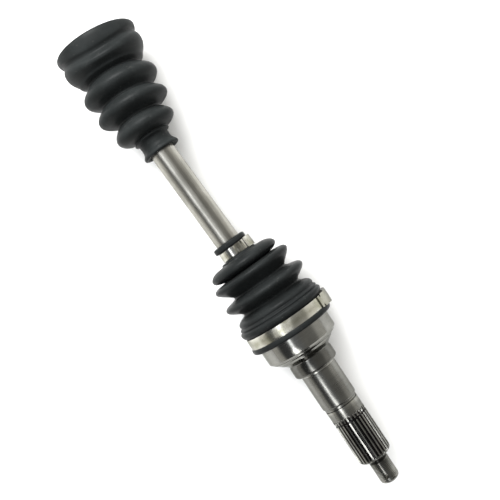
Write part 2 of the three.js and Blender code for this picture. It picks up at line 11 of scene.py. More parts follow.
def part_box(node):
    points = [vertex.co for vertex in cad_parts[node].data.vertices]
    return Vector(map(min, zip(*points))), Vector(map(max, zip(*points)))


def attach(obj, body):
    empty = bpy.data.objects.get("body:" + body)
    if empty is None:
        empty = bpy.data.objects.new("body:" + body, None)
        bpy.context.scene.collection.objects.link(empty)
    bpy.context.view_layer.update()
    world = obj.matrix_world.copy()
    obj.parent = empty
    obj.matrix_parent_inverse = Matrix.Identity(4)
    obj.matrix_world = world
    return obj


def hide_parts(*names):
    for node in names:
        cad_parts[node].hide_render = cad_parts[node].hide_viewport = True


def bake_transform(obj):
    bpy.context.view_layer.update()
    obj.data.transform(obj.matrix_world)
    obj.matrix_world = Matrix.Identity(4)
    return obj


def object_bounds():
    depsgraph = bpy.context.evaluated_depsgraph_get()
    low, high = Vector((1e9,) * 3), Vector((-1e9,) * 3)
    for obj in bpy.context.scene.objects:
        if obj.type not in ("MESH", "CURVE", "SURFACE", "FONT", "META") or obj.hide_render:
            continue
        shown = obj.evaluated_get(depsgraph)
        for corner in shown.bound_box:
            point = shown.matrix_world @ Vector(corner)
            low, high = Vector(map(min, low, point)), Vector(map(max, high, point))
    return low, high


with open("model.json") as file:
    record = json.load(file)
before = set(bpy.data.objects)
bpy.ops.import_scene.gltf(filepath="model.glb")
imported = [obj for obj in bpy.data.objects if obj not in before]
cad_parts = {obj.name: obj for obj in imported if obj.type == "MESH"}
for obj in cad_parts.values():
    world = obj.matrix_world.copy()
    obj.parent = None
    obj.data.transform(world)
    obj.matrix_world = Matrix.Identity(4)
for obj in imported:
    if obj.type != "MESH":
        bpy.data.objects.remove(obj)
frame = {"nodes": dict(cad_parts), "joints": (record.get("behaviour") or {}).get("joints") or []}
cad_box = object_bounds()

MM = 0.001
JOINTS = {joint["name"]: joint for joint in frame["joints"]}
JOINT_CENTRE = Vector(JOINTS["outer_joint_bend"]["pos_m"])
SHAFT_AXIS = Vector(JOINTS["loose_boot_slide"]["axis"])
BEND = math.atan2(SHAFT_AXIS.y, SHAFT_AXIS.x)
HUB_PLACE = Matrix.Translation(JOINT_CENTRE)
SHAFT_PLACE = HUB_PLACE @ Matrix.Rotation(BEND, 4, "Z")
BALLS = 6

# Outlines are in millimetres from the joint's centre: (distance along the axis, radius).
BELL_RADIUS = 30.4
COLLAR_RADIUS = 18.7
JOURNAL_RADIUS = 15.0
HUB_SPLINE_RADIUS = 14.0
HUB_TOOTH_DEPTH = 1.35
HUB_TEETH = 28
THREAD_RADIUS = 8.0
THREAD_PITCH = 1.25
THREAD_DEPTH = 0.45
THREAD_END = 132.5
TIP_LENGTH = 4.2
CAVITY_RADIUS = 23.5
PITCH_RADIUS = 20.3
BALL_RADIUS = 6.35
TRACK_RADIUS = 6.55
BAR_RADIUS = 10.1
BAR_SPLINE_RADIUS = 9.6
BAR_NECK = 8.6
BAR_END = -262.0
BAR_TEETH = 20
BAR_TOOTH_DEPTH = 0.9
PIN_HOLE_RADIUS = 2.1
PIN_HOLE_TURN = math.radians(17)
PIN_HOLE_FROM_TIP = 7.3
BOOT_WALL = 2.3
LARGE_SEAT = 33.7
SMALL_SEAT = 11.2
LARGE_BORE = 30.75
NECK_BORE = 9.65
LIP_BORE = 10.45
MOUTH_BORE = 30.4
LARGE_CLAMP_CENTRE = -12.9
SMALL_CLAMP_CENTRE = -81.6

# Edges sharper than these angles in degrees stay sharp.
STEEL_EDGE = 28
STRAP_EDGE = 30
RUBBER_EDGE = 60


# ------------------------------------------------------------------ node trees
class Nodes:
    """Adds nodes to one tree and joins them."""

    def __init__(self, tree):
        self.tree = tree

    def add(self, kind, inputs=None, **settings):
        node = self.tree.nodes.new(kind)
        for name, value in settings.items():
            setattr(node, name, value)
        for key, value in (inputs or {}).items():
            self.feed(node.inputs[key], value)
        return node

    def feed(self, socket, value):
        if isinstance(value, bpy.types.NodeSocket):
            self.tree.links.new(value, socket)
        elif value is not None:
            socket.default_value = value

    def math(self, operation, a, b=None, c=None):
        kind = "ShaderNodeMath"
        return self.add(kind, {0: a, 1: b, 2: c}, operation=operation).outputs[0]

    def ramp(self, value, from_low, from_high, to_low=0.0, to_high=1.0, smooth=True):
        span = {"Value": value, "From Min": from_low, "From Max": from_high,
                "To Min": to_low, "To Max": to_high}
        kind = "SMOOTHSTEP" if smooth else "LINEAR"
        return self.add("ShaderNodeMapRange", span, interpolation_type=kind).outputs[0]

    def mix(self, factor, a, b):
        node = self.add("ShaderNodeMix", {0: factor, 6: a, 7: b}, data_type="RGBA")
        return node.outputs[2]

    def noise(self, vector, scale, detail=4.0, roughness=0.55):
        node = self.add("ShaderNodeTexNoise", {"Vector": vector, "Scale": scale})
        node.inputs["Detail"].default_value = detail
        node.inputs["Roughness"].default_value = roughness
        return node.outputs[0]


def new_tree(name, kind, inputs, outputs):
    tree = bpy.data.node_groups.new(name, kind)
    for label, socket_type, value in inputs:
        socket = tree.interface.new_socket(label, in_out="INPUT", socket_type="NodeSocket" + socket_type)
        if value is not None:
            socket.default_value = value
    for label, socket_type in outputs:
        tree.interface.new_socket(label, in_out="OUTPUT", socket_type="NodeSocket" + socket_type)
    nodes = Nodes(tree)
    start = nodes.add("NodeGroupInput").outputs
    end = nodes.add("NodeGroupOutput").inputs
    return nodes, start, end


def turned_tree():
    """Spins an outline, the input's own points (x, radius) in order, about the X axis."""
    n, given, result = new_tree(
        "Turned piece", "GeometryNodeTree",
        [("Geometry", "Geometry", None), ("Outline points", "Int", 10), ("Facets", "Int", 96),
         ("Material", "Material", None)],
        [("Geometry", "Geometry")])
    columns = n.math("ADD", given["Facets"], 1.0)
    grid = n.add("GeometryNodeMeshGrid", {"Vertices X": given["Outline points"], "Vertices Y": columns})
    index = n.add("GeometryNodeInputIndex").outputs[0]
    row = n.math("FLOOR", n.math("DIVIDE", n.math("ADD", index, 0.5), columns))
    column = n.math("SUBTRACT", index, n.math("MULTIPLY", row, columns))
    angle = n.math("DIVIDE", n.math("MULTIPLY", column, math.tau), given["Facets"])
    place = n.add("GeometryNodeInputPosition").outputs[0]
    sampled = n.add("GeometryNodeSampleIndex", {"Geometry": given["Geometry"], "Value": place, "Index": row},
                    data_type="FLOAT_VECTOR", domain="POINT")
    xyz = n.add("ShaderNodeSeparateXYZ", {0: sampled.outputs[0]}).outputs
    y = n.math("MULTIPLY", xyz[1], n.math("COSINE", angle))
    z = n.math("MULTIPLY", xyz[1], n.math("SINE", angle))
    spot = n.add("ShaderNodeCombineXYZ", {0: xyz[0], 1: y, 2: z}).outputs[0]
    moved = n.add("GeometryNodeSetPosition", {"Geometry": grid.outputs["Mesh"], "Position": spot})
    merged = n.add("GeometryNodeMergeByDistance", {"Geometry": moved.outputs[0], "Distance": 1e-6})
    real = n.add("GeometryNodeRealizeInstances", {"Geometry": merged.outputs[0]})
    painted = n.add("GeometryNodeSetMaterial", {"Geometry": real.outputs[0], "Material": given["Material"]})
    n.feed(result["Geometry"], painted.outputs[0])
    return n.tree


def radial(n):
    """The x, radius and angle of each point about the X axis, and its (y, z)."""
    place = n.add("GeometryNodeInputPosition").outputs[0]
    x, y, z = n.add("ShaderNodeSeparateXYZ", {0: place}).outputs
    square = n.math("ADD", n.math("MULTIPLY", y, y), n.math("MULTIPLY", z, z))
    return x, n.math("SQRT", square), n.math("ARCTAN2", z, y), y, z


def shrink_to(n, geometry, x, radius, y, z, wanted):
    """Moves each point in to the wanted radius, never out."""
    least = n.math("MINIMUM", wanted, radius)
    share = n.math("DIVIDE", least, n.math("MAXIMUM", radius, 1e-7))
    across = {1: n.math("MULTIPLY", y, share), 2: n.math("MULTIPLY", z, share)}
    spot = n.add("ShaderNodeCombineXYZ", {0: x, **across})
    return n.add("GeometryNodeSetPosition", {"Geometry": geometry, "Position": spot.outputs[0]}).outputs[0]


def between(n, x, low, high):
    """1 between two places and 0 elsewhere."""
    return n.math("MULTIPLY", n.math("GREATER_THAN", x, low), n.math("LESS_THAN", x, high))


def spline_tree():
    """Cuts straight teeth into a turned piece between two stations, running out in a curve from the start.
    """
    n, given, result = new_tree(
        "Cut spline", "GeometryNodeTree",
        [("Geometry", "Geometry", None), ("Teeth", "Int", 28), ("Outer radius", "Float", 0.014),
         ("Depth", "Float", 0.001), ("Start", "Float", 0.0), ("End", "Float", 0.1),
         ("Run-out", "Float", 0.004),
         ("Crest share", "Float", 0.17), ("Root share", "Float", 0.36), ("Material", "Material", None)],
        [("Geometry", "Geometry")])
    x, radius, angle, y, z = radial(n)
    turn = n.math("MULTIPLY", n.math("DIVIDE", angle, math.tau), given["Teeth"])
    phase = n.math("ABSOLUTE", n.math("SUBTRACT", turn, n.math("ROUND", turn)))
    groove = n.ramp(phase, given["Crest share"], given["Root share"], smooth=False)
    into = n.math("DIVIDE", n.math("SUBTRACT", x, given["Start"]), given["Run-out"])
    arc = n.math("SUBTRACT", 1.0, n.math("MAXIMUM", n.math("MINIMUM", into, 1.0), 0.0))
    fade = n.math("SUBTRACT", 1.0, n.math("MULTIPLY", arc, arc))
    inside = between(n, x, given["Start"], given["End"])
    cut = n.math("MULTIPLY", n.math("MULTIPLY", groove, given["Depth"]), n.math("MULTIPLY", fade, inside))
    away = n.math("SUBTRACT", 1.0, inside)
    wanted = n.math("ADD", n.math("SUBTRACT", given["Outer radius"], cut), away)
    moved = shrink_to(n, given["Geometry"], x, radius, y, z, wanted)
    painted = n.add("GeometryNodeSetMaterial", {"Geometry": moved, "Material": given["Material"]})
    n.feed(result["Geometry"], painted.outputs[0])
    return n.tree


def thread_tree():
    """Cuts a right-hand V thread into a turned piece between two stations."""
    n, given, result = new_tree(
        "Cut thread", "GeometryNodeTree",
        [("Geometry", "Geometry", None), ("Outer radius", "Float", 0.008), ("Pitch", "Float", 0.00125),
         ("Depth", "Float", 0.0006), ("Start", "Float", 0.0), ("End", "Float", 0.02),
         ("Material", "Material", None)],
        [("Geometry", "Geometry")])
    x, radius, angle, y, z = radial(n)
    turns = n.math("SUBTRACT", n.math("DIVIDE", x, given["Pitch"]), n.math("DIVIDE", angle, math.tau))
    wave = n.math("MULTIPLY", n.math("ABSOLUTE", n.math("SUBTRACT", turns, n.math("ROUND", turns))), 2.0)
    groove = n.ramp(wave, 0.12, 0.88)
    start = n.ramp(x, given["Start"], n.math("ADD", given["Start"], given["Pitch"]))
    cut = n.math("MULTIPLY", n.math("MULTIPLY", groove, given["Depth"]), start)
    inside = between(n, x, given["Start"], given["End"])
    away = n.math("SUBTRACT", 1.0, inside)
    wanted = n.math("ADD", n.math("SUBTRACT", given["Outer radius"], cut), away)
    moved = shrink_to(n, given["Geometry"], x, radius, y, z, wanted)
    painted = n.add("GeometryNodeSetMaterial", {"Geometry": moved, "Material": given["Material"]})
    n.feed(result["Geometry"], painted.outputs[0])
    return n.tree


def set_inputs(modifier, values):
    for item in modifier.node_group.interface.items_tree:
        if item.in_out == "INPUT" and item.name in values:
            modifier[item.identifier] = values[item.name]


def grow(piece, tree, **values):
    """Adds a geometry nodes modifier; underscores in the names stand for spaces."""
    modifier = piece.modifiers.new(tree.name, "NODES")
    modifier.node_group = tree
    set_inputs(modifier, {name.replace("_", " "): value for name, value in values.items()})


def settle(piece, outwards=False):
    """Turns the piece's modifiers into plain mesh, with its faces outwards if asked."""
    graph = bpy.context.evaluated_depsgraph_get()
    mesh = bpy.data.meshes.new_from_object(piece.evaluated_get(graph))
    piece.modifiers.clear()
    piece.data = mesh
    if outwards:
        face_outwards(mesh)


# ------------------------------------------------------------------ mesh helpers
def new_piece(name, mesh):
    piece = bpy.data.objects.new(name, mesh)
    bpy.context.scene.collection.objects.link(piece)
    return piece


def piece_from(made, name):
    """The piece that a finished bmesh holds."""
    mesh = bpy.data.meshes.new(name)
    made.to_mesh(mesh)
    made.free()
    return new_piece(name, mesh)


def face_outwards(mesh):
    made = bmesh.new()
    made.from_mesh(mesh)
    bmesh.ops.remove_doubles(made, verts=made.verts, dist=1e-7)
    bmesh.ops.recalc_face_normals(made, faces=made.faces)
    if made.calc_volume(signed=True) < 0:
        bmesh.ops.reverse_faces(made, faces=made.faces)
    made.to_mesh(mesh)
    made.free()


def turn(name, outline, material, facets=160):
    """A turned piece about the X axis, from (x, radius) points in millimetres."""
    mesh = bpy.data.meshes.new(name)
    mesh.from_pydata([(x * MM, r * MM, 0) for x, r in outline], [], [])
    piece = new_piece(name, mesh)
    grow(piece, TURNED, Outline_points=len(outline), Facets=facets, Material=material)
    return piece


def cut(piece, cutters):
    """Takes the cutters out of the piece."""
    for cutter in cutters:
        modifier = piece.modifiers.new("cut", "BOOLEAN")
        modifier.operation = "DIFFERENCE"
        modifier.solver = "MANIFOLD"
        modifier.object = cutter
    settle(piece)
    for cutter in cutters:
        bpy.data.objects.remove(cutter)


def finish_piece(piece, place, body, node, sharp_deg=STEEL_EDGE):
    """Puts a finished piece in its place, and says which body moves it and which solid it stands for."""
    piece.data.transform(place)
    piece.data.shade_smooth()
    piece.data.set_sharp_from_angle(angle=math.radians(sharp_deg))
    if body:
        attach(piece, body)
    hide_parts(node)
    return piece


def arc(x, r, radius, from_deg, to_deg, steps):
    """Points of an arc about (x, r); 0 degrees points along +X and 90 outwards."""
    turns = [math.radians(from_deg + (to_deg - from_deg) * i / steps) for i in range(steps + 1)]
    return [(x + radius * math.cos(a), r + radius * math.sin(a)) for a in turns]


def smooth(points, steps=5):
    """A smooth line through the points, with the given steps between each two."""
    line = [Vector(p) for p in points]
    line = [2 * line[0] - line[1]] + line + [2 * line[-1] - line[-2]]
    out = []
    for before, a, b, after in zip(line, line[1:], line[2:], line[3:]):
        reach = (b - a).length
        leave = (b - before).normalized() * reach / 3
        arrive = (after - a).normalized() * reach / 3
        for i in range(steps):
            t = i / steps
            k = 1 - t
            spot = k ** 3 * a + 3 * k * k * t * (a + leave) + 3 * k * t * t * (b - arrive) + t ** 3 * b
            out.append(tuple(spot))
    return out + [tuple(line[-2])]


def cylinder(name, centre, direction, radius, length, sides=48):
    """A plain round cutter; centre, radius and length in millimetres."""
    made = bmesh.new()
    bmesh.ops.create_cone(made, cap_ends=True, segments=sides, radius1=radius * MM,
                          radius2=radius * MM, depth=length * MM)
    aim = Vector(direction).to_track_quat("Z", "Y").to_matrix().to_4x4()
    made.transform(Matrix.Translation(Vector(centre) * MM) @ aim)
    return piece_from(made, name)


def wrapped_plate(made, plan, inner, outer, bevel, taper, sink, step_mm=1.0):
    """Adds a bevelled plate bent round the X axis: plan points are (angle in degrees, x in millimetres).

    Towards the end with the higher angle its thickness falls to the taper's share and it sinks inwards.
    """
    middle = (inner + outer) / 2
    flat = bmesh.new()
    corners = [flat.verts.new((x, math.radians(a) * middle, 0)) for a, x in plan]
    raised = bmesh.ops.extrude_face_region(flat, geom=[flat.faces.new(corners)])
    top = [v for v in raised["geom"] if isinstance(v, bmesh.types.BMVert)]
    bmesh.ops.translate(flat, vec=(0, 0, outer - inner), verts=top)
    bmesh.ops.recalc_face_normals(flat, faces=flat.faces)
    sharp = [e for e in flat.edges if e.calc_face_angle(0) > 0.5]
    bmesh.ops.bevel(flat, geom=sharp, offset=bevel, segments=2, profile=0.6, affect="EDGES")
    low = min(v.co.y for v in flat.verts)
    high = max(v.co.y for v in flat.verts)
    for i in range(1, int((high - low) / step_mm)):
        parts = flat.verts[:] + flat.edges[:] + flat.faces[:]
        bmesh.ops.bisect_plane(flat, geom=parts, plane_co=(0, low + i * step_mm, 0), plane_no=(0, 1, 0))
    at = {}
    for v in flat.verts:
        t = (v.co.y - low) / (high - low)
        r = (inner - sink * t * t + v.co.z * (1 - (1 - taper) * t)) * MM
        angle = v.co.y / middle
        at[v] = made.verts.new((v.co.x * MM, r * math.cos(angle), r * math.sin(angle)))
    for f in flat.faces:
        made.faces.new([at[v] for v in f.verts])
    flat.free()


# ------------------------------------------------------------------ finishes
def wear_group():
    """Lightens and smooths a surface where its edges stand out."""
    n, given, result = new_tree(
        "Edge wear", "ShaderNodeTree",
        [("Colour", "Color", (0.5, 0.5, 0.5, 1)), ("Worn colour", "Color", (0.8, 0.8, 0.8, 1)),
         ("Roughness", "Float", 0.4), ("Worn roughness", "Float", 0.2), ("Edge", "Float", 0.5),
         ("Low", "Float", 0.51), ("High", "Float", 0.56), ("Place", "Vector", None)],
        [("Colour", "Color"), ("Roughness", "Float")])
    patch = n.noise(given["Place"], 90.0, 5.0)
    edge = n.ramp(given["Edge"], given["Low"], given["High"])
    mask = n.math("MULTIPLY", edge, n.ramp(patch, 0.35, 0.6))
    n.feed(result["Colour"], n.mix(mask, given["Colour"], given["Worn colour"]))
    span = n.math("SUBTRACT", given["Worn roughness"], given["Roughness"])
    n.feed(result["Roughness"], n.math("ADD", given["Roughness"], n.math("MULTIPLY", mask, span)))
    return n.tree


def lathe_group():
    """Fine rings left by turning, across a stretched place, as a height and a shade."""
    n, given, result = new_tree(
        "Lathe rings", "ShaderNodeTree",
        [("Place", "Vector", None), ("Ring scale", "Float", 2500.0), ("Blotch scale", "Float", 60.0)],
        [("Height", "Float"), ("Shade", "Float")])
    along = n.add("ShaderNodeVectorMath", {0: given["Place"], 1: (1.0, 0.02, 0.02)}, operation="MULTIPLY")
    rings = n.noise(along.outputs[0], given["Ring scale"], 2.0)
    blotch = n.noise(given["Place"], given["Blotch scale"], 6.0, 0.6)
    n.feed(result["Height"], rings)
    n.feed(result["Shade"], n.math("ADD", n.math("MULTIPLY", rings, 0.35), n.math("MULTIPLY", blotch, 0.65)))
    return n.tree


def speck_group():
    """Dust and scuffs that gather unevenly over a moulded surface."""
    n, given, result = new_tree(
        "Dust and scuffs", "ShaderNodeTree",
        [("Place", "Vector", None), ("Speck scale", "Float", 900.0), ("Film scale", "Float", 35.0)],
        [("Specks", "Float"), ("Film", "Float"), ("Height", "Float")])
    cells = n.add("ShaderNodeTexVoronoi", {"Vector": given["Place"], "Scale": given["Speck scale"]})
    rare = n.noise(given["Place"], 210.0, 3.0)
    near = n.ramp(cells.outputs["Distance"], 0.22, 0.05)
    n.feed(result["Specks"], n.math("MULTIPLY", near, n.ramp(rare, 0.56, 0.66)))
    n.feed(result["Film"], n.ramp(n.noise(given["Place"], given["Film scale"], 7.0, 0.62), 0.38, 0.72))
    fine = n.noise(given["Place"], 1600.0, 3.0, 0.6)
    coarse = n.noise(given["Place"], 160.0, 4.0)
    n.feed(result["Height"], n.math("ADD", n.math("MULTIPLY", fine, 0.35), coarse))
    return n.tree


def new_material(name):
    material = bpy.data.materials.new(name)
    material.use_nodes = True
    n = Nodes(material.node_tree)
    shader = material.node_tree.nodes["Principled BSDF"]
    place = n.add("ShaderNodeTexCoord").outputs["Object"]
    return material, n, shader, place


def use(n, group, **inputs):
    node = n.add("ShaderNodeGroup", node_tree=group)
    for name, value in inputs.items():
        n.feed(node.inputs[name.replace("_", " ")], value)
    return node.outputs


def bump(n, shader, height, strength, distance):
    node = n.add("ShaderNodeBump", {"Height": height, "Strength": strength, "Distance": distance})
    n.feed(shader.inputs["Normal"], node.outputs[0])


def grey(tone, green=1.0, blue=1.0):
    return (tone, tone * green, tone * blue, 1)


def raised_edges(n):
    return n.add("ShaderNodeNewGeometry").outputs["Pointiness"]


def metal(n, shader, finish, edge_on=None):
    """Gives the shader a worn finish; edge_on is its tint where it is seen edge on."""
    n.feed(shader.inputs["Base Color"], finish["Colour"])
    n.feed(shader.inputs["Roughness"], finish["Roughness"])
    shader.inputs["Metallic"].default_value = 1.0
    if edge_on:
        shader.inputs["Specular Tint"].default_value = edge_on


def colour_ramp(n, share, stops):
    """A colour that follows the share through (position, colour) stops."""
    ramp = n.add("ShaderNodeValToRGB", {0: share})
    elements = ramp.color_ramp.elements
    while len(elements) < len(stops):
        elements.new(0.5)
    for element, (position, colour) in zip(elements, stops):
        element.position = position
        element.color = colour
    return ramp.outputs[0]


# Where wear begins and is full on machined steel, and the strength and depth of its rings.
STEEL_WEAR = {"Low": 0.515, "High": 0.56}
RING_SCALE = 2500.0
RING_BUMP = (0.12, 0.00005)


def machined_steel(name, colour, worn, roughness):
    """Turned steel: fine rings, a faint stain, and brighter edges."""
    material, n, shader, place = new_material(name)
    ring = use(n, LATHE, Place=place, Ring_scale=RING_SCALE)
    dark = tuple(c * 0.72 for c in colour[:3]) + (1,)
    stained = n.mix(n.ramp(ring["Shade"], 0.35, 0.62), dark, colour)
    rough = n.ramp(ring["Shade"], 0.3, 0.7, roughness * 1.25, roughness * 0.85)
    finish = use(n, WEAR, Colour=stained, Worn_colour=worn, Roughness=rough, Place=place,
                 Worn_roughness=roughness * 0.7, Edge=raised_edges(n), **STEEL_WEAR)
    metal(n, shader, finish)
    bump(n, shader, ring["Height"], *RING_BUMP)
    return material


# How bright the hub's steel is, by distance along the axis in millimetres; the near-black tones in the two
# grooves (63.7 to 64.3 and 115.0 to 116.4) are painted shade.
HUB_TONES = [
    (-20, 0.26), (17.6, 0.26), (18.2, 0.14), (29.4, 0.14), (30.2, 0.34), (31.4, 0.3), (32.0, 0.21),
    (61.0, 0.2), (62.0, 0.19), (63.5, 0.19), (63.7, 0.02), (64.3, 0.02), (64.5, 0.19), (76.0, 0.2),
    (78.0, 0.21), (110.0, 0.21), (114.4, 0.22), (115.0, 0.03), (116.4, 0.03), (117.0, 0.14),
    (124.0, 0.15), (127.0, 0.24), (137.0, 0.24),
]
TONE_FROM, TONE_TO = HUB_TONES[0][0], HUB_TONES[-1][0]
# Where painted shade darkens the roots between the hub's teeth.
TEETH_FROM, TEETH_TO = 72, 111


def hub_steel():
    """Turned and ground steel, its tone changing along the axis, with painted shade in its grooves and
    between the teeth.
    """
    material, n, shader, place = new_material("machined forging")
    x, y, z = n.add("ShaderNodeSeparateXYZ", {0: place}).outputs
    along = n.math("SUBTRACT", x, JOINT_CENTRE.x)
    share = n.ramp(along, TONE_FROM * MM, TONE_TO * MM, smooth=False)
    span = TONE_TO - TONE_FROM
    tones = [((station - TONE_FROM) / span, grey(tone, 0.99, 0.92)) for station, tone in HUB_TONES]
    radius = n.math("SQRT", n.math("ADD", n.math("MULTIPLY", y, y), n.math("MULTIPLY", z, z)))
    # Painted shade: the roots between the teeth are darkened to near black.
    root = n.ramp(radius, (HUB_SPLINE_RADIUS - 0.3) * MM, (HUB_SPLINE_RADIUS - 0.8) * MM)
    toothed = between(n, along, TEETH_FROM * MM, TEETH_TO * MM)
    tones_and_root_shade = n.mix(n.math("MULTIPLY", root, toothed), colour_ramp(n, share, tones), grey(0.03))
    ring = use(n, LATHE, Place=place, Ring_scale=RING_SCALE)
    stain = n.ramp(ring["Shade"], 0.62, 0.35, 0.0, 0.3)
    stained = n.mix(stain, tones_and_root_shade, (0.02, 0.02, 0.018, 1))
    ground = n.ramp(along, 17 * MM, 32 * MM, 0.15, 0.25)
    rough = n.math("ADD", ground, n.ramp(ring["Shade"], 0.3, 0.7, 0.03, -0.03))
    finish = use(n, WEAR, Colour=stained, Worn_colour=(0.4, 0.395, 0.36, 1), Place=place,
                 Worn_roughness=0.18, Roughness=rough, Edge=raised_edges(n), **STEEL_WEAR)
    metal(n, shader, finish, (0.5, 0.5, 0.49, 1))
    bump(n, shader, ring["Height"], *RING_BUMP)
    return material


def polished_bar():
    """Bright steel polished along its length, with long faint draw lines."""
    material, n, shader, place = new_material("polished bar steel")
    mapped = n.add("ShaderNodeMapping", {"Vector": place})
    mapped.inputs["Rotation"].default_value = (0, 0, -BEND)
    stretch = n.add("ShaderNodeVectorMath", {0: mapped.outputs[0], 1: (0.02, 1.0, 1.0)},
                    operation="MULTIPLY")
    lines = n.noise(stretch.outputs[0], 1400.0, 3.0, 0.6)
    cloud = n.noise(place, 45.0, 5.0, 0.55)
    tone = n.math("ADD", n.math("MULTIPLY", lines, 0.5), n.math("MULTIPLY", cloud, 0.5))
    colour = n.mix(n.ramp(tone, 0.4, 0.6), (0.26, 0.253, 0.228, 1), (0.37, 0.36, 0.328, 1))
    finish = use(n, WEAR, Colour=colour, Worn_colour=(0.85, 0.84, 0.8, 1), Place=place,
                 Roughness=n.ramp(tone, 0.35, 0.65, 0.36, 0.28), Worn_roughness=0.2,
                 Edge=raised_edges(n), Low=0.52, High=0.57)
    metal(n, shader, finish, (0.7, 0.7, 0.68, 1))
    bump(n, shader, lines, 0.08, 0.00004)
    return material


def moulded_rubber(name, colour, lighter, roughness):
    """Black moulded rubber: a grey dust film that is lighter on raised crests, partly as painted sheen, fine
    grain and a few specks of dust.
    """
    material, n, shader, place = new_material(name)
    dust = use(n, SPECKS, Place=place)
    # Lighter colour on raised crests: partly dust film, partly painted sheen on the crests.
    crest_sheen_mask = n.ramp(raised_edges(n), 0.49, 0.53)
    raised = n.math("MULTIPLY", crest_sheen_mask, n.ramp(dust["Film"], 0.0, 1.0, 0.35, 1.0))
    base = n.mix(n.math("MULTIPLY", dust["Film"], 0.45), colour, lighter)
    film_and_crest_sheen = n.mix(n.math("MULTIPLY", raised, 0.55), base, lighter)
    dusty = n.mix(n.math("MULTIPLY", dust["Specks"], 0.5), film_and_crest_sheen, (0.22, 0.21, 0.19, 1))
    n.feed(shader.inputs["Base Color"], dusty)
    rough = n.ramp(dust["Film"], 0.0, 1.0, roughness - 0.07, roughness + 0.08)
    n.feed(shader.inputs["Roughness"], n.math("ADD", rough, n.math("MULTIPLY", dust["Specks"], 0.2)))
    shader.inputs["Specular IOR Level"].default_value = 0.05
    bump(n, shader, dust["Height"], 0.22, 0.00012)
    return material


def pin_hole_shade():
    """Painted shade on the drilled wall: a dark brown colour, mottled by noise."""
    material, n, shader, place = new_material("pin hole painted shade")
    mottle = n.noise(place, 900.0, 4.0)
    n.feed(shader.inputs["Base Color"], n.mix(mottle, (0.006, 0.0035, 0.0035, 1), (0.018, 0.012, 0.012, 1)))
    n.feed(shader.inputs["Roughness"], n.ramp(mottle, 0.3, 0.7, 0.95, 0.75))
    shader.inputs["Specular IOR Level"].default_value = 0.08
    bump(n, shader, mottle, 0.4, 0.0001)
    return material


def strap_steel(name, tone, edge_on):
    """Bright stainless strip, brushed along its length; edge_on is how bright it stays seen edge on."""
    material, n, shader, place = new_material(name)
    rolled = n.add("ShaderNodeVectorMath", {0: place, 1: (1.0, 0.03, 0.03)}, operation="MULTIPLY")
    lines = n.noise(rolled.outputs[0], 3200.0, 3.0, 0.6)
    cloud = n.noise(place, 120.0, 5.0, 0.6)
    low = tuple(tone * c for c in (0.29, 0.283, 0.22)) + (1,)
    high = tuple(tone * c for c in (0.41, 0.4, 0.335)) + (1,)
    colour = n.mix(n.ramp(cloud, 0.35, 0.65), low, high)
    finish = use(n, WEAR, Colour=colour, Worn_colour=(0.7, 0.69, 0.64, 1), Place=place,
                 Roughness=n.ramp(cloud, 0.3, 0.7, 0.27, 0.17), Worn_roughness=0.16,
                 Edge=raised_edges(n), Low=0.51, High=0.55)
    metal(n, shader, finish, grey(edge_on))
    bump(n, shader, lines, 0.15, 0.00004)
    return material


# ------------------------------------------------------------------ the pieces
HUB_SPLINE = {"Start": 72.6 * MM, "End": 114.75 * MM, "Run-out": 5.2 * MM}
THREAD_SPAN = {"Start": 116.6 * MM, "End": 135.5 * MM}
# The swing of a ball's track each way from the joint's middle, in degrees.
TRACK_FROM, TRACK_TO = -72, 20.5


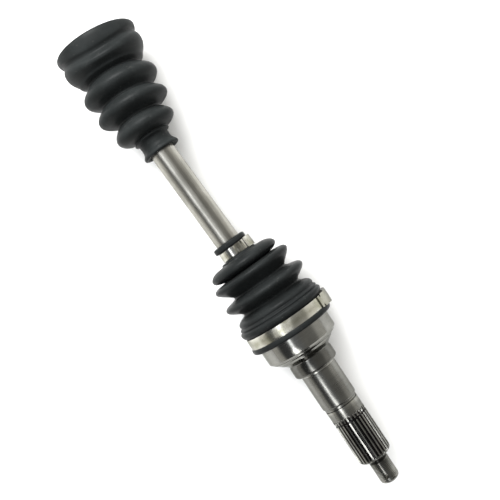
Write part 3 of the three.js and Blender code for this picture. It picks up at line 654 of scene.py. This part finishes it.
def outer_race():
    """Bell, collar, journal, spline and threaded end, all one forging."""
    cone_start, cone_end = (9.0, BELL_RADIUS), (17.9, COLLAR_RADIUS - 0.1)
    slope = (cone_end[1] - cone_start[1]) / (cone_end[0] - cone_start[0])

    def on_cone(x, out=0.0):
        return (x, cone_start[1] + slope * (x - cone_start[0]) + out)

    outline = arc(0, 0, CAVITY_RADIUS, 0, 117.9, 30)
    outline += [(-11.3, 21.0), (-18.7, 27.4), (-19.0, 27.8), (-19.0, 29.5), (-18.8, 29.9), (-18.1, 30.35)]
    outline += [(-17, BELL_RADIUS), (-6, BELL_RADIUS), (2, BELL_RADIUS), (8.3, BELL_RADIUS)]
    outline += [(8.8, BELL_RADIUS - 0.15), (9.3, BELL_RADIUS - 0.7)]
    outline += [on_cone(10.6), on_cone(10.9, 0.35), on_cone(11.7, 0.4), on_cone(12.0)]
    outline += [on_cone(12.6, -0.3), on_cone(13.2), on_cone(14.3), on_cone(14.5, 0.25), on_cone(15.2, 0.25)]
    outline += [on_cone(15.5), (17.4, 19.3), (17.9, 18.8), (18.4, 18.35), (19.0, 18.2), (19.6, 18.3)]
    outline += [(20.2, 18.6), (20.6, COLLAR_RADIUS), (24, COLLAR_RADIUS)]
    outline += arc(27.6, COLLAR_RADIUS - 2.4, 2.4, 90, 12, 8)
    outline += [(30.0, 16.2), (30.0, 14.9), (30.2, 14.65), (31.6, 14.6), (32.1, 14.95)]
    outline += [(32.4, JOURNAL_RADIUS)]
    outline += [(38, JOURNAL_RADIUS), (46, JOURNAL_RADIUS), (54, JOURNAL_RADIUS), (60.6, JOURNAL_RADIUS)]
    outline += [(61.0, 14.93), (62.0, 14.05), (62.3, HUB_SPLINE_RADIUS), (63.6, HUB_SPLINE_RADIUS)]
    outline += [(63.62, 13.5), (64.38, 13.5), (64.4, HUB_SPLINE_RADIUS), (68, HUB_SPLINE_RADIUS)]
    outline += [(71.5 + 0.35 * i, HUB_SPLINE_RADIUS) for i in range(12)]
    outline += [(76.2, 13.9), (76.5, 13.3), (77.4, 13.3), (77.7, 13.9), (77.8, HUB_SPLINE_RADIUS)]
    outline += [(78.2 + 0.4 * i, HUB_SPLINE_RADIUS) for i in range(4)]
    outline += [(84 + 6 * i, HUB_SPLINE_RADIUS) for i in range(5)]
    nose = [(110.6, 14.0), (111.6, 13.75), (112.6, 12.9), (113.5, 11.5), (114.2, 9.9), (114.7, 8.2)]
    outline += smooth(nose, 4)
    outline += [(114.9, 7.4), (115.2, 7.25), (116.2, 7.25), (116.6, 7.6)]
    threads = int((THREAD_END - 117) / THREAD_PITCH * 8)
    outline += [(117 + THREAD_PITCH * i / 8, THREAD_RADIUS) for i in range(threads)]
    ends = [math.radians(90 * i / 9) for i in range(10)]
    outline += [(THREAD_END + TIP_LENGTH * math.sin(a), THREAD_RADIUS * math.cos(a)) for a in ends[:-1]]
    outline += [(THREAD_END + TIP_LENGTH, 0)]
    piece = turn("outer_race_machined", outline, FINISH["forging"], HUB_TEETH * 12)
    grow(piece, SPLINE, Teeth=HUB_TEETH, Outer_radius=HUB_SPLINE_RADIUS * MM, Depth=HUB_TOOTH_DEPTH * MM,
         Material=FINISH["forging"], **HUB_SPLINE)
    grow(piece, THREAD, Outer_radius=THREAD_RADIUS * MM, Pitch=THREAD_PITCH * MM, Depth=THREAD_DEPTH * MM,
         Material=FINISH["forging"], **THREAD_SPAN)
    settle(piece, outwards=True)
    aim = Vector((0, -math.sin(PIN_HOLE_TURN), math.cos(PIN_HOLE_TURN)))
    centre = Vector((THREAD_END + TIP_LENGTH - PIN_HOLE_FROM_TIP, 0, 0))
    drill = [cylinder("pin hole", centre, aim, PIN_HOLE_RADIUS, 30)]
    cut(piece, drill + [ball_track(i, TRACK_FROM, TRACK_TO, 12) for i in range(BALLS)])
    # The drilled wall takes the painted shade finish.
    piece.data.materials.append(FINISH["pin hole"])
    wall = (PIN_HOLE_RADIUS + 0.05) * MM
    for face in piece.data.polygons:
        away = face.center - centre * MM
        if away.length < (THREAD_RADIUS - 0.3) * MM and away.cross(aim).length < wall:
            face.material_index = 1
    return finish_piece(piece, HUB_PLACE, "hub_side", "outer_race_stub")


def ball_track(i, from_deg, to_deg, steps):
    """The channel that ball i sweeps, round at both ends."""
    made = bmesh.new()
    rings, sides = [], 32
    stations = [(from_deg + (to_deg - from_deg) * k / steps, TRACK_RADIUS, 0.0) for k in range(steps + 1)]
    caps = [math.radians(90 * k / 6) for k in range(1, 6)]
    before = [(from_deg, TRACK_RADIUS * math.cos(a), -TRACK_RADIUS * math.sin(a)) for a in reversed(caps)]
    after = [(to_deg, TRACK_RADIUS * math.cos(a), TRACK_RADIUS * math.sin(a)) for a in caps]
    for swing, size, ahead in before + stations + after:
        a = math.radians(swing)
        centre = Vector((math.sin(a), math.cos(a), 0)) * PITCH_RADIUS
        along = Vector((math.cos(a), -math.sin(a), 0))
        out = Vector((math.sin(a), math.cos(a), 0))
        centre += along * ahead
        turns = [math.tau * s / sides for s in range(sides)]
        ring = [centre + size * (math.cos(t) * out + math.sin(t) * Vector((0, 0, 1))) for t in turns]
        rings.append([made.verts.new(spot) for spot in ring])
    for a, b in zip(rings, rings[1:]):
        for s in range(sides):
            made.faces.new((a[s], a[(s + 1) % sides], b[(s + 1) % sides], b[s]))
    made.faces.new(rings[0])
    made.faces.new(reversed(rings[-1]))
    bmesh.ops.recalc_face_normals(made, faces=made.faces)
    made.transform(Matrix.Rotation(math.tau * i / BALLS, 4, "X") @ Matrix.Scale(MM, 4))
    return piece_from(made, "ball track")


def axle_bar():
    """The polished bar with its necks, boot seat, ring grooves and a spline at each end."""
    ring_seat, root = BAR_SPLINE_RADIUS - 1.4, BAR_SPLINE_RADIUS - BAR_TOOTH_DEPTH

    def groove(centre, land):
        seat = [(centre + 0.79, ring_seat), (centre - 0.79, ring_seat)]
        return [(centre + 0.8, land), *seat, (centre - 0.8, land)]

    outline = [(13.0, 0), (13.0, 7.6), (12.7, 8.0), (11.6, BAR_SPLINE_RADIUS)]
    outline += groove(9.8, BAR_SPLINE_RADIUS)
    outline += [(8.6 - 3.4 * i, BAR_SPLINE_RADIUS) for i in range(6)]
    outline += groove(-9.8, BAR_SPLINE_RADIUS) + [(-10.8, BAR_SPLINE_RADIUS), (-11.4, root)]
    outline += [(-12, BAR_NECK), (-20, BAR_NECK), (-33, BAR_NECK)]
    outline += smooth([(-34, BAR_NECK), (-36, 8.8), (-40, 9.8), (-42.5, BAR_RADIUS)], 4)
    outline += [(-60, BAR_RADIUS), (-75.4, BAR_RADIUS), (-75.9, 9.9), (-76.7, 9.3), (-85.6, 9.3)]
    outline += [(-86.3, 10.0), (-86.8, BAR_RADIUS)] + [(-100 - 12 * i, BAR_RADIUS) for i in range(12)]
    outline += [(-236.4, BAR_RADIUS), (-237.2, 9.9), (-237.6, BAR_SPLINE_RADIUS)]
    outline += [(-237.9, BAR_SPLINE_RADIUS)] + groove(-239.2, BAR_SPLINE_RADIUS)
    outline += [(-240.6 - 3.5 * i, BAR_SPLINE_RADIUS) for i in range(5)]
    outline += [(-256, BAR_SPLINE_RADIUS)] + groove(-257.0, BAR_SPLINE_RADIUS)
    outline += [(-258.4, BAR_SPLINE_RADIUS), (-260.6, BAR_SPLINE_RADIUS), (-261.7, 8.0)]
    outline += [(BAR_END, 7.6), (BAR_END, 0)]
    piece = turn("axle_bar_polished", outline, FINISH["bar"], 240)
    for start, end in ((-11.2, 12.9), (-261.9, -237.7)):
        grow(piece, SPLINE, Teeth=BAR_TEETH, Outer_radius=BAR_SPLINE_RADIUS * MM,
             Depth=BAR_TOOTH_DEPTH * MM, Start=start * MM, End=end * MM,
             **{"Run-out": 0.4 * MM}, Material=FINISH["bar"])
    settle(piece, outwards=True)
    return finish_piece(piece, SHAFT_PLACE, "shaft_side", "axle_bar")


# Each fold's crest, flanks and valley, from the large clamp's seat to the neck.
OUTBOARD_FOLDS = [
    (-18.0, 33.9), (-18.8, 35.2), (-20.6, 36.3), (-22.6, 36.5), (-23.7, 35.7), (-24.4, 34.7),
    (-25.0, 35.0), (-25.8, 34.9), (-26.6, 34.0), (-27.4, 33.4), (-28.8, 33.8), (-30.6, 33.1),
    (-32.3, 31.0), (-33.5, 28.3), (-34.6, 26.3), (-36.0, 25.7), (-37.6, 27.3), (-39.4, 30.4),
    (-41.6, 33.6), (-43.4, 35.2), (-45.2, 35.5), (-47.0, 34.0), (-48.1, 30.8), (-48.9, 27.0),
    (-49.8, 24.4), (-51.0, 23.9), (-52.4, 25.1), (-54.8, 28.0), (-57.6, 31.4), (-59.6, 33.2),
    (-61.4, 33.7), (-63.2, 32.5), (-64.2, 29.8), (-64.7, 26.0), (-65.0, 22.4), (-65.35, 22.2),
    (-65.8, 24.2), (-66.7, 26.6), (-68.2, 28.8), (-69.9, 29.5), (-71.7, 29.0), (-73.4, 27.4),
    (-74.8, 24.8), (-75.6, 21.6), (-75.9, 17.6), (-76.3, 15.4), (-76.9, 15.1), (-77.4, 14.3),
    (-77.5, 12.2),
]
# From the shoulder beside the loose boot's clamp seat to its mouth.
INBOARD_FOLDS = [
    (-189.4, 13.2), (-190.2, 14.3), (-191.0, 15.5), (-192.0, 15.4), (-192.7, 14.9),
    (-193.5, 16.6), (-195.2, 21.3), (-198.0, 24.6), (-200.9, 25.4), (-204.0, 24.1),
    (-207.2, 21.2), (-209.0, 19.0), (-210.2, 19.3), (-211.8, 22.2), (-213.9, 26.3),
    (-216.2, 29.2), (-218.8, 30.1), (-221.7, 29.1), (-224.8, 25.8), (-227.0, 22.9),
    (-228.2, 23.0), (-229.8, 25.1), (-232.0, 28.5), (-234.9, 31.1), (-237.7, 31.7),
    (-240.8, 30.5), (-243.7, 27.4), (-246.2, 24.2), (-247.5, 23.5), (-248.9, 25.0),
    (-251.0, 27.8), (-253.4, 29.1), (-256.8, 31.6), (-260.0, 33.3), (-263.2, 33.8),
    (-266.0, 33.5), (-268.6, 32.3), (-270.2, 31.3), (-271.6, 31.7), (-273.2, 33.4),
    (-275.6, 34.0), (-276.8, 33.7),
]


def thickened(outer, wall, bore):
    """The inner line of a moulded wall, back from the last outer point to the first."""
    return [(x, max(r - wall, bore)) for x, r in reversed(outer)]


def outboard_boot():
    """The clamped boot: lips, two strap seats and saw-tooth folds."""
    lip = arc(-6.3, LARGE_SEAT - 0.2, 2.25, 10, 90, 6)
    outline = [(-4.3, LARGE_BORE), (-4.05, 31.3)] + lip
    outline += [(-7.7, 35.75), (-8.3, 35.5), (-8.55, 34.9), (-8.6, LARGE_SEAT)]
    outline += [(-13, LARGE_SEAT), (-17.6, LARGE_SEAT)]
    folds = smooth(OUTBOARD_FOLDS, 5)
    outline += folds
    outline += [(-77.55, SMALL_SEAT), (-81, SMALL_SEAT), (-85.6, SMALL_SEAT), (-85.7, 12.6), (-85.9, 13.6)]
    outline += [(-86.5, 14.1), (-89.3, 14.1), (-90.1, 13.7), (-90.4, 12.8), (-90.3, 11.2), (-90.0, LIP_BORE)]
    outline += [(-87.0, LIP_BORE), (-85.6, NECK_BORE), (-77.2, NECK_BORE)]
    outline += [(x, r) for x, r in thickened(folds, BOOT_WALL, NECK_BORE) if x < -19.5]
    outline += [(-19.2, LARGE_BORE), (-10, LARGE_BORE), (-4.3, LARGE_BORE)]
    piece = turn("outboard_boot_moulded", outline, FINISH["clamped rubber"], 144)
    settle(piece, outwards=True)
    return piece


# Where the outboard boot's bend at rest starts and ends, and its bow there.
FLEX_FROM, FLEX_TO, BOW = -20.0, -78.0, 0.9


def flexed(mesh, start, end):
    """Bends the mesh about the joint's centre, from none at start to all at end, with a slight bow."""
    for v in mesh.vertices:
        t = min(max((start - v.co.x / MM) / (start - end), 0), 1)
        v.co.rotate(Matrix.Rotation(BEND * t * t * (3 - 2 * t), 3, "Z"))
        v.co.y += BOW * MM * math.sin(math.pi * t)


# How often soft rubber's unevenness turns, per metre, and the steps that a lean is added up in.
WAVES = 45
LEAN_STEPS = 40


def waved(mesh, depth_mm, seed):
    """A slow unevenness of soft rubber, in and out from the axis."""
    for v in mesh.vertices:
        out = Vector((0, v.co.y, v.co.z))
        if out.length > 1e-6:
            spot = v.co * WAVES + Vector((seed, 0, 0))
            v.co += out.normalized() * noise.noise(spot) * depth_mm * MM


# The loose boot's small end, and how far it leans between two distances from there.
LOOSE_END = -177.4
INBOARD_LEAN = math.radians(5.3)
LEAN_FROM, LEAN_TO = 5.0, 40.0
# How far the top of the soft mouth is drawn towards the hub, by distance from the boot's small end.
SLUMP = [(66, 0.0), (69, 0.3), (76, 2.4), (86, 6.4), (92.8, 9.0), (96.5, 5.2), (99.2, 0.8), (101, 0.0)]
SLUMP_RADIUS = 32.0


def leaned(mesh):
    """Leans the loose boot off the bar's axis towards its mouth."""
    def lean(along):
        return INBOARD_LEAN * min(max((along - LEAN_FROM) / (LEAN_TO - LEAN_FROM), 0), 1)

    for v in mesh.vertices:
        along = LOOSE_END - v.co.x / MM
        spot = Vector((LOOSE_END, 0, 0))
        for k in range(LEAN_STEPS):
            a = lean((k + 0.5) * along / LEAN_STEPS)
            spot += Vector((-math.cos(a), math.sin(a), 0)) * along / LEAN_STEPS
        a = lean(along)
        y = v.co.y
        v.co = (spot.x * MM + y * math.sin(a), spot.y * MM + y * math.cos(a), v.co.z)


def height_on(line, at):
    """The height of a line of (place, height) points at a place, level beyond its ends."""
    for (low, h0), (high, h1) in zip(line, line[1:]):
        if low <= at < high:
            return h0 + (h1 - h0) * (at - low) / (high - low)
    return line[0][1] if at < line[0][0] else line[-1][1]


def slumped(mesh):
    """Draws the top of the last fold and its groove towards the hub, as the soft mouth sags."""
    line = smooth(SLUMP, 6)
    for v in mesh.vertices:
        rise = max(v.co.z / MM / SLUMP_RADIUS, 0)
        v.co.x += height_on(line, LOOSE_END - v.co.x / MM) * rise * rise * MM


def inboard_boot():
    """The loose boot: a flared collar, rounded folds and an open mouth."""
    collar = smooth([(-178.3, 11.3), (-177.4, 12.9), (-177.3, 14.5), (-178.2, 15.6), (-179.8, 15.3),
                     (-181.8, 13.9), (-184.0, 13.15), (-186.0, 13.1)], 4)
    folds = smooth(INBOARD_FOLDS, 5)
    mouth = [(-277.3, 33.2), (-277.5, 32.2), (-277.2, 31.9), (-277.2, 31.5), (-277.5, 31.2), (-277.3, 30.5)]
    outline = [(-178.6, LIP_BORE)] + collar + [(-187.5, 13.1)] + folds + mouth
    inside = thickened(folds, BOOT_WALL, LIP_BORE)
    outline += [(x, min(r, MOUTH_BORE)) for x, r in inside if -276.2 < x < -191.2]
    outline += [(-190.6, LIP_BORE), (-184, LIP_BORE), (-178.6, LIP_BORE)]
    piece = turn("inboard_boot_moulded", outline, FINISH["loose rubber"], 144)
    settle(piece, outwards=True)
    return piece


def both_boots():
    boot = outboard_boot()
    waved(boot.data, 0.22, 3.0)
    flexed(boot.data, FLEX_FROM, FLEX_TO)
    finish_piece(boot, HUB_PLACE, None, "outboard_boot", RUBBER_EDGE)
    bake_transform(boot)
    loose = inboard_boot()
    waved(loose.data, 0.3, 8.0)
    slumped(loose.data)
    leaned(loose.data)
    finish_piece(loose, SHAFT_PLACE, "loose_boot", "inboard_boot", RUBBER_EDGE)
    return boot, loose


def strap(name, centre, inner, thickness, width):
    """One turn of bevelled strip."""
    half, edge, outer = width / 2, thickness * 0.45, inner + thickness
    side = [(half, inner), (half, outer - edge), (half - edge * 0.4, outer - edge * 0.3)]
    side += [(half - edge, outer)]
    loop = [(-x, r) for x, r in side] + [(0, outer + 0.03)] + side[::-1] + [(-half, inner)]
    piece = turn(name, [(centre + x, r) for x, r in loop], FINISH["strap"], 180)
    settle(piece, outwards=True)
    return piece


def plates(name, layers, material):
    """A piece made of bent plates, each a plan of (angle, x), two radii, a bevel, a taper and a sink."""
    made = bmesh.new()
    for layer in layers:
        wrapped_plate(made, *layer)
    bmesh.ops.recalc_face_normals(made, faces=made.faces)
    piece = piece_from(made, name)
    piece.data.materials.append(material)
    return piece


def mirrored(centre, half_plan):
    """A plan symmetric about x = centre, from its (angle, half width) points."""
    right = [(a, centre + w) for a, w in half_plan]
    left = [(a, centre - w) for a, w in reversed(half_plan)]
    return right + left


def large_clamp():
    centre = LARGE_CLAMP_CENTRE
    band = strap("large_clamp_strap", centre, inner=34.0, thickness=0.8, width=9.4)
    finish_piece(band, HUB_PLACE, "hub_side", "large_clamp_band", STRAP_EDGE)
    base = mirrored(centre, [(-26, 4.6), (12.0, 4.6)])
    plate = mirrored(centre, [(-17, 5.6), (8, 5.6), (20, 5.1), (27.6, 5.2), (28.4, 3.4), (30.2, 2.8),
                              (30.8, 4.9), (34.6, 4.6)])
    layers = [(base, 34.95, 35.35, 0.1, 1.0, 0.0), (plate, 35.6, 40.0, 0.16, 0.2, 0.7)]
    buckle = plates("large_clamp_buckle_folded", layers, FINISH["clip"])
    finish_piece(buckle, HUB_PLACE, "hub_side", "large_clamp_buckle", STRAP_EDGE)
    return band, buckle


def small_clamp():
    centre = SMALL_CLAMP_CENTRE
    band = strap("small_clamp_strap", centre, inner=11.5, thickness=0.6, width=7.7)
    finish_piece(band, SHAFT_PLACE, "shaft_side", "small_clamp_band", STRAP_EDGE)
    lap = mirrored(centre, [(86, 3.7), (118, 3.7)])
    base = mirrored(centre, [(-40, 3.8), (80, 3.8)])
    block = mirrored(centre, [(-38, 4.5), (20, 4.5), (42, 4.3), (45, 3.9)])
    corners = [(46, -3.9), (46, 3.9), (74, 3.9), (74, -1.0), (67, -3.7), (61, -3.9), (58, -1.6),
               (54, -1.8), (55, -3.9)]
    fold = [(a, centre + x) for a, x in corners]
    layers = [(lap, 12.15, 12.75, 0.12, 1.0, 0.0), (base, 12.15, 12.8, 0.12, 1.0, 0.0),
              (block, 12.9, 17.4, 0.4, 0.5, 0.0), (fold, 12.95, 14.5, 0.2, 0.5, 0.0)]
    buckle = plates("small_clamp_buckle_folded", layers, FINISH["clip"])
    finish_piece(buckle, SHAFT_PLACE, "shaft_side", "small_clamp_buckle", STRAP_EDGE)
    return band, buckle


def balls():
    for i in range(BALLS):
        name = f"ball_{i + 1}"
        low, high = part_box(name)
        made = bmesh.new()
        bmesh.ops.create_icosphere(made, subdivisions=4, radius=BALL_RADIUS * MM)
        made.transform(Matrix.Translation((low + high) / 2))
        piece = piece_from(made, name + "_ground")
        piece.data.materials.append(FINISH["ball"])
        finish_piece(piece, Matrix.Identity(4), f"rolling_ball_{i + 1}", name)


# ------------------------------------------------------------------ scene
# The camera looks straight down from this height over this point, in metres from the joint's centre.
VIEW_HEIGHT = 0.580
VIEW_POINT = (-75.1 * MM, 6.8 * MM)
VIEW_ROLL = math.radians(56.45)
LENS, SENSOR_WIDTH = 53.31, 36


def camera():
    data = bpy.data.cameras.new("camera")
    data.lens = LENS
    data.sensor_width = SENSOR_WIDTH
    eye = bpy.data.objects.new("camera", data)
    bpy.context.scene.collection.objects.link(eye)
    eye.location = JOINT_CENTRE + Vector((*VIEW_POINT, VIEW_HEIGHT))
    eye.rotation_euler = (0, 0, VIEW_ROLL)
    bpy.context.scene.camera = eye


# Each soft lamp: how far it stands from what it lights, its size in metres and its power in watts.
KEY_LAMP = ((-0.85, -0.12, 0.95), (0.9, 0.9), 27)
BOOT_LAMP = ((-0.7, 0.03, 0.62), (0.4, 0.35), 15)
BAR_LAMP = ((-0.05, -0.28, 0.86), (1.2, 0.9), 2.6)
STUB_LAMP = ((0.34, -0.33, 0.76), (0.32, 0.2), 0.95)
OVERHEAD_STRENGTH, OVERHEAD_SPREAD = 1.5, math.radians(60)
LAMP_MIDDLE = Vector((-0.07, 0, 0))


def area_light(name, aim, lamp_facts):
    offset, size, power = lamp_facts
    data = bpy.data.lights.new(name, "AREA")
    data.shape = "RECTANGLE"
    data.size, data.size_y = size
    data.energy = power
    lamp = bpy.data.objects.new(name, data)
    bpy.context.scene.collection.objects.link(lamp)
    lamp.location = aim + Vector(offset)
    lamp.rotation_euler = Vector(offset).to_track_quat("Z", "Y").to_euler()
    lamp.visible_camera = False
    return lamp


# What polished metal mirrors, by degrees from overhead, negative towards +Y: (degrees, brightness, tint).
STUDIO = [
    (-180, 1.0, "warm"), (-80, 1.0, "warm"), (-62, 0.88, "warm"), (-50, 0.40, "warm"), (-12, 0.34, "warm"),
    (8, 0.36, "cool"), (19.5, 0.5, "cool"), (22.8, 3.9, "cool"), (28.4, 3.9, "cool"), (31.5, 0.25, "cool"),
    (38, 0.12, "cool"), (63, 0.11, "cool"), (73, 0.9, "warm"), (82, 1.0, "warm"), (180, 1.0, "warm"),
]
TINTS = {"warm": (1.0, 0.985, 0.93), "cool": (0.93, 0.96, 1.0)}
# Where the walls at the axle's two ends fall off to less light, and how much is left.
END_WALLS, END_LIGHT = (0.55, 0.95), 0.2
BACKDROP = (0.92, 0.92, 0.91, 1)
FLOOR_COLOUR = (0.93, 0.93, 0.92, 1)
FLOOR_REACH = 6.0
FLOOR_GAP = 0.0005


def studio_walls():
    """Pale walls, a dim ceiling, one long bright strip and a dark gap beside it."""
    world = bpy.data.worlds.new("studio")
    world.use_nodes = True
    n = Nodes(world.node_tree)
    aim = n.add("ShaderNodeTexCoord").outputs["Generated"]
    x, y, z = n.add("ShaderNodeSeparateXYZ", {0: aim}).outputs
    around = n.math("ARCTAN2", n.math("MULTIPLY", y, -1.0), z)
    share = n.ramp(around, -math.pi, math.pi, smooth=False)
    walls = [((degrees + 180) / 360, (*(bright * c for c in TINTS[tint]), 1))
             for degrees, bright, tint in STUDIO]
    plain = n.add("ShaderNodeLightPath").outputs["Is Camera Ray"]
    lit = n.ramp(n.math("ABSOLUTE", x), *END_WALLS, 1.0, END_LIGHT)
    dimmed = n.mix(lit, grey(0.0), colour_ramp(n, share, walls))
    shown = n.mix(plain, dimmed, BACKDROP)
    n.feed(world.node_tree.nodes["Background"].inputs[0], shown)
    bpy.context.scene.world = world


def light_only(lamp, pieces):
    """Keeps a lamp to the pieces given."""
    lit = bpy.data.collections.new(lamp.name + " reach")
    for piece in pieces:
        lit.objects.link(piece)
    lamp.light_linking.receiver_collection = lit


def floor():
    """A wide pale floor just under the lowest piece."""
    height = cad_box[0][2] - FLOOR_GAP
    mesh = bpy.data.meshes.new("floor")
    corners = [(-FLOOR_REACH, -FLOOR_REACH), (FLOOR_REACH, -FLOOR_REACH),
               (FLOOR_REACH, FLOOR_REACH), (-FLOOR_REACH, FLOOR_REACH)]
    mesh.from_pydata([(x, y, height) for x, y in corners], [], [(0, 1, 2, 3)])
    piece = new_piece("floor", mesh)
    material, _, shader, _ = new_material("pale floor")
    shader.inputs["Base Color"].default_value = FLOOR_COLOUR
    shader.inputs["Roughness"].default_value = 0.8
    mesh.materials.append(material)


def stage(rubber, bright, hub):
    """Floor, walls and lamps; three of the lamps light only the pieces given for them."""
    floor()
    studio_walls()
    middle = JOINT_CENTRE + LAMP_MIDDLE
    key = area_light("key softbox", middle, KEY_LAMP)
    key.visible_glossy = False
    even = bpy.data.lights.new("even overhead light", "SUN")
    even.energy = OVERHEAD_STRENGTH
    even.angle = OVERHEAD_SPREAD
    overhead = bpy.data.objects.new("even overhead light", even)
    bpy.context.scene.collection.objects.link(overhead)
    overhead.visible_glossy = False
    light_only(area_light("boot light", middle, BOOT_LAMP), rubber)
    light_only(area_light("bar light", middle, BAR_LAMP), bright)
    light_only(area_light("stub light", JOINT_CENTRE, STUB_LAMP), hub)
    bpy.context.scene.view_settings.view_transform = "Standard"


# ------------------------------------------------------------------ making it all
TURNED, SPLINE, THREAD = turned_tree(), spline_tree(), thread_tree()
WEAR, LATHE, SPECKS = wear_group(), lathe_group(), speck_group()
FINISH = {
    "forging": hub_steel(),
    "pin hole": pin_hole_shade(),
    "bar": polished_bar(),
    "race": machined_steel("ground race steel", grey(0.5), grey(0.7), 0.2),
    "ball": machined_steel("polished ball steel", (0.8, 0.8, 0.82, 1), (0.9, 0.9, 0.9, 1), 0.06),
    "spring": machined_steel("black spring steel", (0.1, 0.1, 0.11, 1), (0.3, 0.3, 0.3, 1), 0.4),
    "strap": strap_steel("stainless strap", 1.0, 0.5),
    # The clip is the strap's stainless steel painted darker and less bright edge on: painted shade on its
    # bent plates.
    "clip": strap_steel("stainless clip", 0.75, 0.3),
    "clamped rubber": moulded_rubber(
        "clamped boot rubber", (0.0072, 0.008, 0.008, 1), (0.0145, 0.0162, 0.0162, 1), 0.43),
    "loose rubber": moulded_rubber(
        "loose boot rubber", (0.0085, 0.0095, 0.0095, 1), (0.0165, 0.0185, 0.0185, 1), 0.47),
}

camera()
race = outer_race()
bar = axle_bar()
boots = both_boots()
straps = [*large_clamp(), *small_clamp()]
balls()
for node, finish in (("ball_cage", "race"), ("inner_race", "race"), ("inner_race_circlip", "spring"),
                     ("inner_race_stop_ring", "spring"), ("inboard_stop_ring", "spring"),
                     ("inboard_circlip", "spring")):
    solid = frame["nodes"][node]
    solid.data.materials.clear()
    solid.data.materials.append(FINISH[finish])
stage(boots, [bar, *straps[::2]], [race])
